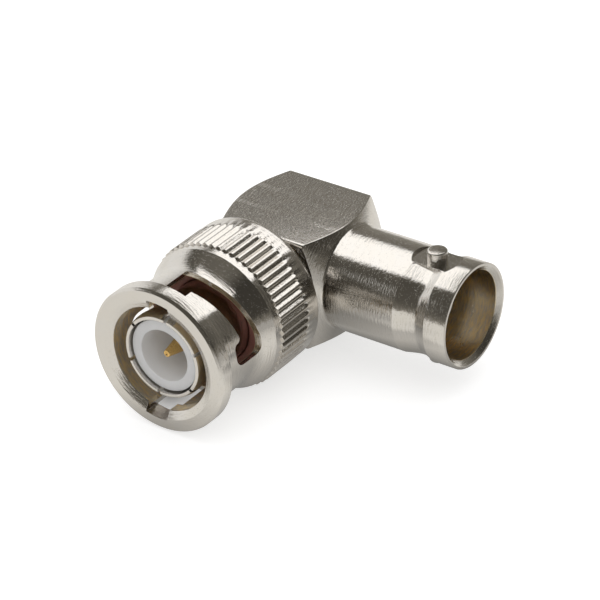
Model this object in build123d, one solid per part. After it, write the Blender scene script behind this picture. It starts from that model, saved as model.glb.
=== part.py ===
"""Right-angle coaxial adapter: a bayonet plug on one side of a square elbow, a bayonet jack on the other.

The plug's axis is Y and it faces -Y. The jack's axis runs along +X. +Z is up.
The origin is the middle of the plug's reference plane, the tip of its sprung sleeve, so a
place along the plug is its depth behind that plane. All sizes are in millimetres.
"""
from build123d import *
import os
from math import radians, sin, cos, tan, pi

cutter_overrun = 1.0           # how far a cutting shape runs past what it cuts

# Elbow: where the two axes cross and how far the jack reaches
elbow_depth = 19.65            # reference plane to the jack's axis
jack_reach = 19.0              # plug's axis to the jack's mouth
bar_width = 10.68              # square bar that the elbow is turned from
bar_edge_radius = 0.3
block_rear_reach = 5.4         # plug's axis to the closed end
block_front_reach = 6.2        # plug's axis to the end that carries the barrel
end_circle_radius = 4.95       # flat circle left at each turned end
end_cone_angle = 30.0          # turned cone at each end, from the end's plane
inner_bore_radius = 3.3        # chamber for the centre conductors
side_bore_radius = 3.0         # way from the plug into the chamber
root_chamfer = 0.25            # where the barrel leaves the block

# Jack interface
barrel_radius = 4.78
land_radius = 4.825
land_length = 2.15
groove_floor_radius = 4.47
groove_step_length = 0.65
groove_floor_length = 0.45
groove_taper_length = 1.15     # gentle stretch of the groove's rear side
groove_taper_rise = 0.14
groove_lip_length = 1.0        # steeper stretch that reaches the barrel
groove_stop_angle = 19.0       # the groove stops this far from each lug's plane
jack_bore_radius = 4.06
jack_bore_depth = 8.35         # mouth to the shoulder that meets the plug's sleeve
mouth_chamfer_width = 0.5
mouth_chamfer_depth = 0.4
shoulder_wall = 1.2            # metal between the shoulder and the chamber
lug_setback = 3.7              # mouth to the middle of the bayonet lugs
lug_radius = 0.9
lug_span = 11.1                # across both lugs
lug_edge = 0.15
pocket_radius = 2.25           # flat pocket trepanned round each lug
pocket_floor = 4.58            # height of its floor above the jack's axis

# Jack insulator and its sprung contact
nipple_radius = 2.35
nipple_setback = 3.6           # mouth to the insulator's front
jack_insulator_rear = 3.4      # plug's axis to the insulator's rear face
socket_radius = 1.05
socket_bore_radius = 0.69
socket_bore_depth = 5.0
socket_recess = 0.2            # insulator's front to the contact's front
socket_slit_width = 0.2
socket_slit_length = 4.2
socket_slit_count = 4
socket_lead = 0.16             # lead-in cone at the contact's mouth
collar_extra = 0.35            # barb that holds a contact in its insulator
collar_length = 1.2
tail_radius = 0.8
tail_overrun = 1.3             # past the plug's axis
solder_hole_clearance = 0.03

# Closing cap at the back of the block
cap_radius = 3.7
cap_thickness = 1.0
cap_recess = 0.15
cap_edge = 0.2

# Plug sleeve, flange and neck
sleeve_radius = 3.88
sleeve_bore_radius = 3.58      # inside the sprung fingers
sleeve_bead = 0.15             # the fingers' contact bead stands this proud
sleeve_bead_rise = 0.65        # tip to the front of the bead
sleeve_bead_depth = 1.1        # tip to the back of the bead
sleeve_bead_fall = 1.1         # taper from the bead to the plain sleeve
finger_length = 4.4
finger_slit_width = 0.3
finger_slit_count = 6
finger_slit_phase = 9.2        # first slit, from +Z towards +X
flange_depth = 9.4
flange_thickness = 1.0
neck_radius = 4.0
neck_seat = 1.7                # how far the neck goes into the block
flange_clearance = 0.08        # flange to the nut's bore

# Plug insulator and pin
plug_insulator_radius = 3.42
plug_insulator_recess = 0.35
plug_insulator_bore = 2.45
plug_insulator_bore_depth = 6.3
pin_radius = 0.675
pin_recess = 0.7               # reference plane to the pin's tip
pin_tip_radius = 0.3
pin_taper_length = 1.75
pin_shank_radius = 0.9         # where the insulator holds it
pin_barb_setback = 2.0         # floor of the insulator's bore to the barb
pin_tail_radius = 0.5
pin_tail_overrun = 0.75        # past the jack's axis
contact_bore_clearance = 0.02

# Gasket and the nut's spring
gasket_front = 7.2
gasket_radius = 4.85
gasket_edge = 0.15
gasket_bore_clearance = 0.04
washer_thickness = 0.3
washer_clearance = 0.1
wave_thickness = 0.25
wave_count = 3
wave_inner_clearance = 0.15
wave_width = 0.6
seat_gap = 0.02

# Bayonet coupling nut
nut_front_lead = 0.69          # nut's face ahead of the reference plane
nut_block_gap = 0.52           # nut's rear to the block, at rest
nut_bore_radius = 4.95
nut_relief_radius = 5.35       # undercut bore between the front lip and the flange
nut_relief_start = 0.8
nut_relief_end = 9.2
nut_mouth_radius = 5.7
nut_mouth_depth = 0.36
nut_face_radius = 6.68
nut_collar_radius = 6.9
nut_collar_break = 0.25
nut_collar_rear = 0.82
waist_radius = 5.93
waist_fillet = 0.25
waist_end = 5.0
flare_foot = (6.45, 6.31)      # depth and radius where the flare turns to a cone
shoulder_depth = 7.35
shoulder_radius = 6.76
knurl_front = 8.15
knurl_rear = 11.9
knurl_radius = 7.02
knurl_depth = 0.24
knurl_runout = 0.45
knurl_count = 60
knurl_groove_share = 0.75      # groove's width as a share of the pitch
knurl_phase = 2.0
nut_rear_radius = 6.3
nut_rear_round = 0.75
nut_rear_wall = 1.59           # inner shoulder to the nut's rear
nut_neck_clearance = 0.06

# Bayonet slots: angles are from +Z towards +X, depths are at the nut's rest place
slot_width = 2.27
slot_roof_radius = 5.85        # roof of the axial entry inside the collar
slot_entry_angle = 4.5
slot_entry_depth = 3.76
slot_ramp_start = 18.0
slot_ramp_end = 80.0
slot_ramp_depth = 4.93
slot_end_angle = 86.0
slot_catch_depth = 3.93
catch_ease_width = 0.65        # corner taken off between the ramp and the catch
catch_ease_height = 0.45
slot_count = 2

# Places that follow from the sizes above
block_face = elbow_depth - bar_width / 2                 # where the neck enters the block
neck_end = block_face + neck_seat
nut_rear_depth = block_face - nut_block_gap
nut_shoulder_depth = nut_rear_depth - nut_rear_wall
jack_shoulder = jack_reach - jack_bore_depth
jack_insulator_front = jack_reach - nipple_setback
slot_cut_inner = nut_bore_radius - cutter_overrun
slot_cut_outer = nut_collar_radius + cutter_overrun


def along_plug(shape):
    """Turn a shape drawn about the local Z axis onto the plug's axis, +Z to +Y."""
    return Rotation(-90, 0, 0) * shape


def along_jack(shape):
    """Turn a shape drawn about the local Z axis onto the jack's axis, +Z to +X."""
    return Pos(0, elbow_depth, 0) * (Rotation(0, 90, 0) * shape)


def turned(*points):
    """Solid of revolution about local Z from (height, radius) points, closed on the axis."""
    outline = [(r, h) for h, r in points]
    closed = [(0, outline[0][1])] + outline + [(0, outline[-1][1])]
    face = Plane.XZ * make_face(Polyline(*closed, close=True))
    return revolve(face, Axis.Z)


def quarter_round(start, end, steps):
    """Points (radius, height) of a quarter ellipse that leaves start along the axis."""
    (h0, r0), (h1, r1) = start, end
    turns = [radians(90 * i / steps) for i in range(steps + 1)]
    return [(r1 + (r0 - r1) * cos(t), h0 + (h1 - h0) * sin(t)) for t in turns]


def swell(start, end, steps):
    """Points (radius, height) of a parabola that leaves start along the axis."""
    (h0, r0), (h1, r1) = start, end
    shares = [i / steps for i in range(steps + 1)]
    return [(r0 + (r1 - r0) * t * t, h0 + (h1 - h0) * t) for t in shares]


def rod(radius, start, end):
    """Plain cylinder about local Z between two heights."""
    return Pos(0, 0, start) * Cylinder(radius, end - start, align=(Align.CENTER, Align.CENTER, Align.MIN))


def at_angle(angle, shape):
    """Turn a shape about the plug's axis, from +Z towards +X."""
    return Rotation(0, angle, 0) * shape


def radial_box(width, start, end, reach):
    """Box between two depths along the plug, from its axis out along +Z."""
    box = Box(width, end - start, reach, align=(Align.CENTER, Align.MIN, Align.MIN))
    return Pos(0, start, 0) * box


def block():
    """Square bar turned to a cone at both ends, with the long edges rounded."""
    half = bar_width / 2
    corner = half * 2 ** 0.5
    rise = (corner - end_circle_radius) * tan(radians(end_cone_angle))
    bar = Pos(0, 0, -block_rear_reach) * Box(
        bar_width, bar_width, block_rear_reach + block_front_reach,
        align=(Align.CENTER, Align.CENTER, Align.MIN))
    bar = fillet(bar.edges().filter_by(Axis.Z), bar_edge_radius)
    blank = turned(
        (-block_rear_reach, end_circle_radius),
        (-block_rear_reach + rise, corner),
        (block_front_reach - rise, corner),
        (block_front_reach, end_circle_radius))
    return bar & blank


def barrel():
    """Jack's outside, solid: straight barrel and front land."""
    mouth = jack_reach
    land = mouth - land_length
    outline = turned(
        (0, barrel_radius),
        (land, barrel_radius),
        (land, land_radius),
        (mouth, land_radius))
    root_ring = turned(
        (block_front_reach - root_chamfer, barrel_radius + root_chamfer),
        (block_front_reach, barrel_radius + root_chamfer),
        (block_front_reach + root_chamfer, barrel_radius))
    return outline + root_ring


def lug_groove():
    """Ring that is turned away behind the land, on both sides of the lugs."""
    start = jack_reach - land_length
    floor = start - groove_step_length
    taper = floor - groove_floor_length
    knee = taper - groove_taper_length
    end = knee - groove_lip_length
    over = land_radius + cutter_overrun
    step = quarter_round((floor, groove_floor_radius), (start, land_radius), 2)
    ring = make_face(Polyline(
        (over, end), (barrel_radius, end),
        (groove_floor_radius + groove_taper_rise, knee), (groove_floor_radius, taper),
        *step, (over, start), close=True))
    ring = Plane.XZ * ring
    sweep_angle = 180 - 2 * groove_stop_angle
    side = revolve(ring, Axis.Z, revolution_arc=sweep_angle)
    lug_plane = 180 + groove_stop_angle
    return [Rotation(0, 0, lug_plane) * side, Rotation(0, 0, lug_plane + 180) * side]


def bayonet_lugs():
    """The two round lugs, as one bar right across, to be cut by the bore."""
    lug = Cylinder(lug_radius, lug_span)
    lug = chamfer(lug.edges(), lug_edge)
    return Pos(jack_reach - lug_setback, elbow_depth, 0) * lug


def lug_pockets():
    """Flat-bottomed round pockets that leave the lugs standing."""
    top = land_radius + cutter_overrun
    cut = rod(pocket_radius, pocket_floor, top) - rod(lug_radius, pocket_floor, top)
    cut = Pos(jack_reach - lug_setback, elbow_depth, 0) * cut
    return [cut, mirror(cut, Plane.XY)]


def jack_bores():
    """All that is bored out of the elbow along the jack's axis."""
    mouth = turned(
        (jack_shoulder, jack_bore_radius),
        (jack_reach - mouth_chamfer_depth, jack_bore_radius),
        (jack_reach, jack_bore_radius + mouth_chamfer_width),
        (jack_reach + cutter_overrun, jack_bore_radius + mouth_chamfer_width))
    guide = rod(nipple_radius, jack_shoulder - shoulder_wall, jack_shoulder)
    chamber = rod(inner_bore_radius, -block_rear_reach, jack_shoulder - shoulder_wall)
    seat_floor = cap_recess + cap_thickness - block_rear_reach
    cap_seat = rod(cap_radius, -block_rear_reach - cutter_overrun, seat_floor)
    return along_jack(mouth + guide + chamber + cap_seat)


def plug_bores():
    """Seat for the plug's neck and the way through to the chamber."""
    seat = rod(neck_radius, block_face - cutter_overrun, neck_end)
    way = rod(side_bore_radius, block_face, elbow_depth)
    return along_plug(seat + way)


def elbow_body():
    """Block, barrel and lugs in one piece, turned and milled from square bar."""
    outside = along_jack(block() + barrel())
    outside = outside - [along_jack(g) for g in lug_groove()]
    outside = outside - lug_pockets()
    outside = outside + bayonet_lugs()
    return outside - jack_bores() - plug_bores()


def rear_cap():
    """Disc pressed into the back of the block after the centre joint is soldered."""
    outer = -block_rear_reach + cap_recess
    disc = rod(cap_radius, outer, outer + cap_thickness)
    disc = chamfer(disc.edges().sort_by(Axis.Z)[0], cap_edge)
    return along_jack(disc)


def jack_insulator():
    """Stepped fluoropolymer body with the nipple that the plug's insulator slides over."""
    step = jack_shoulder - shoulder_wall
    body = turned(
        (jack_insulator_rear, inner_bore_radius),
        (step, inner_bore_radius),
        (step, nipple_radius),
        (jack_insulator_front, nipple_radius))
    return along_jack(body) - jack_contact_room()


def jack_contact_outline(extra):
    """Outside of the jack's contact, grown by a clearance."""
    barb = jack_shoulder - shoulder_wall
    return turned(
        (jack_insulator_rear, socket_radius + extra),
        (barb - collar_length, socket_radius + extra),
        (barb - collar_length, socket_radius + collar_extra + extra),
        (barb, socket_radius + extra),
        (jack_insulator_front - socket_recess, socket_radius + extra))


def jack_contact_room():
    """Hole in the jack's insulator, open to the front past the contact."""
    room = jack_contact_outline(contact_bore_clearance)
    mouth = rod(
        socket_radius + contact_bore_clearance,
        jack_insulator_front - socket_recess - cutter_overrun,
        jack_insulator_front + cutter_overrun)
    return along_jack(room + mouth)


def jack_contact():
    """Slotted spring socket with a solder tail that the pin's tail crosses."""
    front = jack_insulator_front - socket_recess
    body = jack_contact_outline(0) + rod(tail_radius, -tail_overrun, jack_insulator_rear)
    lead_in = turned(
        (front - socket_bore_depth, socket_bore_radius),
        (front - socket_lead, socket_bore_radius),
        (front + socket_lead, socket_bore_radius + 2 * socket_lead))
    body = body - lead_in
    slit = Pos(0, 0, front - socket_slit_length) * Box(
        socket_slit_width, 2 * (socket_radius + cutter_overrun), socket_slit_length + cutter_overrun,
        align=(Align.CENTER, Align.CENTER, Align.MIN))
    for turn in range(socket_slit_count // 2):
        body = body - Rotation(0, 0, (turn + 0.5) * 360 / socket_slit_count) * slit
    reach = tail_radius + cutter_overrun
    cross = rod(pin_tail_radius + solder_hole_clearance, elbow_depth - reach, elbow_depth + reach)
    return along_jack(body) - along_plug(cross)


def plug_shell():
    """Outer contact: sprung sleeve, flange that holds the nut's spring, and the neck."""
    flange_radius = nut_bore_radius - flange_clearance
    flange_rear = flange_depth + flange_thickness
    outside = turned(
        (0, sleeve_radius),
        (sleeve_bead_rise, sleeve_radius + sleeve_bead),
        (sleeve_bead_depth, sleeve_radius + sleeve_bead),
        (sleeve_bead_depth + sleeve_bead_fall, sleeve_radius),
        (flange_depth, sleeve_radius),
        (flange_depth, flange_radius),
        (flange_rear, flange_radius),
        (flange_rear, neck_radius),
        (neck_end, neck_radius))
    inside = turned(
        (-cutter_overrun, sleeve_bore_radius),
        (finger_length, sleeve_bore_radius),
        (finger_length, plug_insulator_radius),
        (neck_end + cutter_overrun, plug_insulator_radius))
    shell = along_plug(outside - inside)
    slit = radial_box(finger_slit_width, -cutter_overrun, finger_length, neck_radius + cutter_overrun)
    step = 360 / finger_slit_count
    return shell - [at_angle(finger_slit_phase + i * step, slit) for i in range(finger_slit_count)]


def pin_outline(extra):
    """Pin's shank, barb and tail behind the open bore, grown by a clearance."""
    floor = plug_insulator_bore_depth
    barb = floor + pin_barb_setback
    return turned(
        (floor, pin_shank_radius + extra),
        (barb, pin_shank_radius + extra),
        (barb + collar_length, pin_shank_radius + collar_extra + extra),
        (barb + collar_length, pin_shank_radius + extra),
        (neck_end, pin_shank_radius + extra))


def plug_insulator():
    """Fluoropolymer tube that fills the sleeve, with a deep bore round the pin."""
    tube = rod(plug_insulator_radius, plug_insulator_recess, neck_end)
    bore = rod(plug_insulator_bore, 0, plug_insulator_bore_depth)
    return along_plug(tube - bore - pin_outline(contact_bore_clearance))


def plug_pin():
    """Gold-plated centre pin: tapered tip, barb and solder tail."""
    tip = turned(
        (pin_recess, pin_tip_radius),
        (pin_recess + pin_taper_length, pin_radius),
        (plug_insulator_bore_depth, pin_radius))
    tail = rod(pin_tail_radius, neck_end, elbow_depth + pin_tail_overrun)
    return along_plug(tip + pin_outline(0) + tail)


def gasket():
    """Silicone ring in front of the flange that seals on the mating jack's mouth."""
    ring = rod(gasket_radius, gasket_front, flange_depth) - rod(
        sleeve_radius + gasket_bore_clearance, gasket_front - cutter_overrun, flange_depth + cutter_overrun)
    ring = chamfer(ring.edges().sort_by(Axis.Z)[:2], gasket_edge)
    return along_plug(ring)


def thrust_washer():
    """Plain washer between the nut's shoulder and the wave washer."""
    rear = nut_shoulder_depth - seat_gap
    ring = rod(nut_bore_radius - washer_clearance, rear - washer_thickness, rear)
    hole = rod(neck_radius + washer_clearance, rear - washer_thickness - cutter_overrun, rear + cutter_overrun)
    return along_plug(ring - hole)


def wave_washer():
    """Wavy spring ring that draws the nut back towards the elbow."""
    low = flange_depth + flange_thickness + seat_gap
    high = nut_shoulder_depth - washer_thickness - 2 * seat_gap
    middle = (low + high) / 2
    swing = (high - low - wave_thickness) / 2
    inner = neck_radius + wave_inner_clearance
    steps = wave_count * 8

    def section(i):
        angle = 360 * i / steps
        lift = middle + swing * sin(radians(wave_count * angle))
        strip = Pos(inner + wave_width / 2, 0, lift) * (Plane.XZ * Rectangle(wave_width, wave_thickness))
        return Rotation(0, 0, angle) * strip

    half = steps // 2
    first = loft([section(i).face() for i in range(half + 1)])
    second = loft([section(i).face() for i in range(half, steps + 1)])
    return along_plug(first + second)


def nut_blank():
    """Coupling nut as turned, before the slots are milled and the ribs are rolled."""
    front = -nut_front_lead
    neck_bore = neck_radius + nut_neck_clearance
    flare = swell((waist_end, waist_radius), flare_foot, 3)
    rear_round = quarter_round(
        (nut_rear_depth - nut_rear_round, knurl_radius), (nut_rear_depth, nut_rear_radius), 3)
    outline = Polyline(
        (nut_mouth_radius, front), (nut_face_radius, front),
        (nut_collar_radius, front + nut_collar_break),
        (nut_collar_radius, nut_collar_rear),
        (waist_radius + waist_fillet, nut_collar_rear),
        (waist_radius, nut_collar_rear + waist_fillet),
        *flare,
        (shoulder_radius, shoulder_depth),
        (shoulder_radius, knurl_front),
        (knurl_radius, knurl_front),
        *rear_round,
        (neck_bore, nut_rear_depth),
        (neck_bore, nut_shoulder_depth),
        (nut_bore_radius, nut_shoulder_depth),
        (nut_bore_radius, nut_relief_end),
        (nut_relief_radius, nut_relief_end),
        (nut_relief_radius, nut_relief_start),
        (nut_bore_radius, nut_relief_start),
        (nut_bore_radius, front + nut_mouth_depth),
        close=True)
    return along_plug(revolve(Plane.XZ * make_face(outline), Axis.Z))


def slot_section():
    """Slot's cross-section, drawn at the radius that its path follows."""
    middle = (slot_cut_inner + slot_cut_outer) / 2
    return middle, Pos(middle, 0) * Rectangle(slot_cut_outer - slot_cut_inner, slot_width)


def slot_bar(depth, start, end):
    """Stretch of slot that runs round the nut at one depth."""
    section = slot_section()[1]
    ring = revolve(Pos(0, depth) * section, Axis.Y, revolution_arc=end - start)
    return at_angle(start - 90, ring)


def slot_end(depth, angle):
    """Round end that the milling cutter leaves, pointing out from the axis."""
    return at_angle(angle, Pos(0, depth, 0) * rod(slot_width / 2, slot_cut_inner, slot_cut_outer))


def slot_ramp():
    """Helical stretch of slot between the entry and the catch."""
    rise = slot_ramp_depth - slot_entry_depth
    sweep_angle = slot_ramp_end - slot_ramp_start
    path_radius, section = slot_section()
    path = Helix(pitch=rise * 360 / sweep_angle, height=rise, radius=path_radius)
    ramp = sweep(Plane.XZ * section, path=path, is_frenet=True)
    ramp = along_plug(Rotation(0, 0, -90) * ramp)
    return at_angle(slot_ramp_start, Pos(0, slot_entry_depth, 0) * ramp)


def slot_entry():
    """Axial way in, square at its end: closed by the collar in front, open outwards behind it."""
    start = -nut_front_lead - cutter_overrun
    roof = along_plug(rod(slot_roof_radius, start, nut_collar_rear))
    under_collar = radial_box(slot_width, start, nut_collar_rear, slot_cut_outer) & roof
    behind_collar = radial_box(
        slot_width, nut_collar_rear, slot_entry_depth + slot_width / 2, slot_cut_outer)
    return under_collar + behind_collar


def slot_catch_ease():
    """Corner taken off where the lug leaves the ramp for the catch."""
    edge = -slot_width / 2
    corner = slot_ramp_depth - slot_width / 2
    wedge = Polyline(
        (edge, corner - catch_ease_height), (edge - catch_ease_width, corner),
        (edge, corner + catch_ease_height), close=True)
    return extrude(Plane.XY * make_face(wedge), slot_cut_outer)


def bayonet_slot():
    """One slot: axial entry under the collar, ramp, and the catch that holds the lug."""
    catch = radial_box(slot_width, slot_catch_depth, slot_ramp_depth, slot_cut_outer)
    return [
        at_angle(slot_entry_angle, slot_entry()),
        slot_bar(slot_entry_depth, slot_entry_angle, slot_ramp_start),
        slot_ramp(),
        slot_bar(slot_ramp_depth, slot_ramp_end, slot_end_angle),
        slot_end(slot_ramp_depth, slot_end_angle),
        slot_end(slot_catch_depth, slot_end_angle),
        at_angle(slot_end_angle, catch),
        at_angle(slot_end_angle, slot_catch_ease()),
    ]


def knurl_groove():
    """V-shaped groove with a run-out at its rear end, pointing out along +Z."""
    pitch = 2 * pi * knurl_radius / knurl_count
    half = pitch * knurl_groove_share / 2
    over = knurl_depth
    spread = half * (knurl_depth + over) / knurl_depth

    def vee(depth, lift):
        foot = knurl_radius - knurl_depth + lift
        top = knurl_radius + over + lift
        face = make_face(Polyline((0, foot), (spread, top), (-spread, top), close=True))
        return Pos(0, depth, 0) * (Plane.XZ * face)

    runout_start = knurl_rear - knurl_runout
    straight = loft([vee(knurl_front - over, 0).face(), vee(runout_start, 0).face()], ruled=True)
    runout = loft([vee(runout_start, 0).face(), vee(knurl_rear, knurl_depth).face()], ruled=True)
    return straight + runout


def coupling_nut():
    """Bayonet nut: turned blank, two milled slots and a rolled straight knurl."""
    nut = nut_blank()
    for i in range(slot_count):
        nut = nut - [at_angle(i * 360 / slot_count, c) for c in bayonet_slot()]
    groove = knurl_groove()
    step = 360 / knurl_count
    return nut - [at_angle(knurl_phase + i * step, groove) for i in range(knurl_count)]


pieces = {
    "elbow_body": elbow_body,
    "rear_cap": rear_cap,
    "jack_insulator": jack_insulator,
    "jack_contact": jack_contact,
    "plug_shell": plug_shell,
    "plug_insulator": plug_insulator,
    "plug_pin": plug_pin,
    "gasket": gasket,
    "wave_washer": wave_washer,
    "thrust_washer": thrust_washer,
    "coupling_nut": coupling_nut,
}

os.makedirs("parts", exist_ok=True)
for name, make in pieces.items():
    export_step(make(), f"parts/{name}.step")
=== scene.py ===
"""Looks of a right-angle coaxial adapter: a bayonet plug and a bayonet jack on a square elbow.

Shapes are drawn in millimetres in the part's own frame and scaled to metres when a piece is
finished. The plug's axis is Y and it faces -Y. The jack's axis runs along +X, elbow_depth
behind the plug's reference plane. +Z is up.
"""
import cmath
from math import asin, atan2, ceil, cos, hypot, pi, radians, sin, sqrt, tan
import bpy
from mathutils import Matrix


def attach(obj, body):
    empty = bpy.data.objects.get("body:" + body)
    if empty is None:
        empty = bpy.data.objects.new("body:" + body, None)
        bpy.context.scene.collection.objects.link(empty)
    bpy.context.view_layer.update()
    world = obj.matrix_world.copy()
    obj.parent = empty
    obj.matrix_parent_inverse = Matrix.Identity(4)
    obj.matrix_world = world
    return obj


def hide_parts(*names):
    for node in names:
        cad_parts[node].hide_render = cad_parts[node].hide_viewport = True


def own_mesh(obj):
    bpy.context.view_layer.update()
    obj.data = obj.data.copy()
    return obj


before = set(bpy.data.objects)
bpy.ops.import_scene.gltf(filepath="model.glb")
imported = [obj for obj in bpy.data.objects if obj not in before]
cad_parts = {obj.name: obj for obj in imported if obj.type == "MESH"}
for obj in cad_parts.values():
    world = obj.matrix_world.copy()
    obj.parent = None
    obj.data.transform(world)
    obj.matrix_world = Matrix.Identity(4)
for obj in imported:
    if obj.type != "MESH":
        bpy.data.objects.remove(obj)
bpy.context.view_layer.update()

from types import SimpleNamespace

import bmesh
import bpy
from bpy.props import FloatProperty, FloatVectorProperty, PointerProperty
from bpy.types import Operator, Panel, PropertyGroup
from mathutils import Matrix, Vector

bl_info = {
    "name": "Coaxial elbow adapter",
    "version": (1, 0, 0),
    "blender": (4, 5, 0),
    "location": "3D Viewport > Sidebar > Adapter",
    "description": "Builds the pieces of a right-angle bayonet coaxial adapter and its stage",
    "category": "Object",
}


streak_wind = 0.0010    # metres of a streak's noise in a radian of turn
ring_wind = 0.0002      # the same for fine rings
white = (1.0, 1.0, 1.0)
same_point = 1e-4       # millimetres within which points are one
touch = 0.005           # millimetres kept between pieces that sit tight


def length(name, millimetres, description):
    """Length property whose default is given in millimetres."""
    return FloatProperty(name=name, description=description, default=millimetres / 1000,
                         precision=5, unit="LENGTH")


def angle(name, turn, description):
    """Angle property whose default is given in degrees."""
    return FloatProperty(name=name, description=description, default=radians(turn), subtype="ANGLE")


def number(name, value, description):
    """Plain number property."""
    return FloatProperty(name=name, description=description, default=value, precision=4)


def colour(name, value, description):
    """Linear colour property."""
    return FloatVectorProperty(name=name, description=description, default=value, size=3,
                               min=0, max=1, subtype="COLOR")


class ElbowSizes(PropertyGroup):
    """Sizes of the one-piece elbow: block, barrel, groove, lugs and bores."""
    elbow_depth: length("Elbow depth", 19.65, "Plug's reference plane to the jack's axis")
    jack_reach: length("Jack reach", 19.0, "Plug's axis to the jack's mouth")
    half_width: length("Half width", 5.34, "Half of the square bar's width")
    bar_edge: length("Bar edge", 0.3, "Rounding of the bar's long edges")
    arc_edge: length("Arc edge", 0.13, "Rounding where the flats meet the turned cones")
    rear_reach: length("Rear reach", 5.4, "Plug's axis to the closed end")
    front_reach: length("Front reach", 6.2, "Plug's axis to the end that carries the barrel")
    end_circle: length("End circle", 4.95, "Radius of the flat left at each turned end")
    cone_angle: angle("Cone angle", 30, "Turned cone, from the end's plane")
    root_fillet: length("Root fillet", 0.28, "Fillet where the barrel leaves the block")
    barrel_radius: length("Barrel radius", 4.8, "Radius of the jack's barrel")
    land_radius: length("Land radius", 4.825, "Radius of the jack's front land")
    land_length: length("Land length", 2.15, "Length of the front land")
    groove_floor: length("Groove floor", 4.47, "Radius of the groove's floor")
    groove_start: length("Groove start", 13.6, "Where the groove leaves the barrel, along the jack")
    groove_low: length("Groove low", 15.8, "Where the groove is deepest, along the jack")
    groove_stop: angle("Groove stop", 17.2, "Angle from each lug at which the groove ends")
    bore_radius: length("Bore radius", 4.06, "Radius of the jack's bore")
    bore_depth: length("Bore depth", 8.35, "Mouth to the shoulder that meets the plug's sleeve")
    mouth_chamfer: length("Mouth chamfer", 0.5, "Width of the chamfer inside the mouth")
    mouth_chamfer_depth: length("Mouth chamfer depth", 0.4, "Depth of the chamfer inside the mouth")
    shoulder_wall: length("Shoulder wall", 1.2, "Metal between the shoulder and the chamber")
    chamber_radius: length("Chamber radius", 3.3, "Radius of the chamber for the centre conductors")
    side_bore: length("Side bore", 3.0, "Radius of the way from the plug into the chamber")
    neck_seat: length("Neck seat", 1.7, "Depth of the seat for the plug's neck")
    lug_setback: length("Lug setback", 3.7, "Mouth to the middle of the lugs")
    lug_radius: length("Lug radius", 0.89, "Radius of a bayonet lug")
    lug_reach: length("Lug reach", 5.55, "Jack's axis to a lug's end")
    lug_edge: length("Lug edge", 0.14, "Rounding of a lug's end")
    pocket_radius: length("Pocket radius", 2.25, "Radius of the flat pocket round each lug")
    pocket_floor: length("Pocket floor", 4.58, "Jack's axis to the pocket's floor")
    cap_radius: length("Cap radius", 3.7, "Radius of the closing cap")
    cap_thickness: length("Cap thickness", 1.0, "Thickness of the closing cap")
    cap_recess: length("Cap recess", 0.15, "How far the cap sits inside the closed end")


class NutSizes(PropertyGroup):
    """Sizes of the bayonet coupling nut."""
    front_lead: length("Front lead", 0.69, "Nut's face ahead of the reference plane")
    bore_radius: length("Bore radius", 4.95, "Radius of the nut's bore")
    relief_radius: length("Relief radius", 5.45, "Radius of the undercut bore behind the front lip")
    relief_start: length("Relief start", 0.8, "Depth where the undercut begins")
    relief_end: length("Relief end", 9.2, "Depth where the undercut ends, ahead of the flange")
    mouth_radius: length("Mouth radius", 5.7, "Radius of the mouth's chamfer at the face")
    mouth_depth: length("Mouth depth", 0.36, "Depth of the mouth's chamfer")
    face_radius: length("Face radius", 6.68, "Outer radius of the flat front face")
    collar_radius: length("Collar radius", 6.9, "Radius of the front collar")
    collar_break: length("Collar break", 0.22, "Length of the break between face and collar")
    collar_rear: length("Collar rear", 0.82, "Depth of the collar's rear step")
    waist_radius: length("Waist radius", 5.93, "Radius of the waist")
    waist_fillet: length("Waist fillet", 0.15, "Fillet behind the collar")
    waist_end: length("Waist end", 5.0, "Depth where the flare leaves the waist")
    flare_depth: length("Flare depth", 6.45, "Depth where the flare turns to a cone")
    flare_radius: length("Flare radius", 6.31, "Radius where the flare turns to a cone")
    shoulder_depth: length("Shoulder depth", 7.35, "Depth of the sharp shoulder")
    shoulder_radius: length("Shoulder radius", 6.76, "Radius of the sharp shoulder")
    knurl_front: length("Knurl front", 8.15, "Depth of the ribs' front ends")
    knurl_rear: length("Knurl rear", 11.95, "Depth where the grooves have run out")
    knurl_radius: length("Knurl radius", 7.02, "Radius over the ribs")
    knurl_depth: length("Knurl depth", 0.24, "Depth of the grooves")
    knurl_runout: length("Knurl run-out", 0.45, "Length over which the grooves run out")
    groove_share: number("Groove share", 0.72, "Groove's width as a share of the pitch")
    band_radius: length("Band radius", 6.99, "Radius of the smooth rear band")
    rear_depth: length("Rear depth", 13.79, "Depth of the nut's rear face")
    rear_radius: length("Rear radius", 6.3, "Outer radius of the rear face")
    rear_round: length("Rear round", 0.75, "Length of the rounding at the rear")
    neck_bore: length("Neck bore", 4.06, "Radius of the bore that runs on the neck")
    inner_shoulder: length("Inner shoulder", 12.2, "Depth of the nut's inner shoulder")
    slot_width: length("Slot width", 2.27, "Width of the bayonet slot")
    entry_width: length("Entry width", 2.27, "Width of the axial entry")
    entry_roof: length("Entry roof", 5.85, "Radius of the entry's roof inside the collar")
    entry_angle: angle("Entry angle", 4.5, "Middle of the entry, from +Z towards +X")
    entry_depth: length("Entry depth", 3.76, "Depth of the cutter's centre at the entry's end")
    ramp_start: angle("Ramp start", 18, "Angle at which the slot begins to climb")
    ramp_end: angle("Ramp end", 80, "Angle at which the slot stops climbing")
    ramp_depth: length("Ramp depth", 4.93, "Depth of the cutter's centre at the ramp's end")
    catch_angle: angle("Catch angle", 86.0, "Middle of the catch")
    catch_depth: length("Catch depth", 3.93, "Depth of the cutter's centre at the catch")


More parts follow.
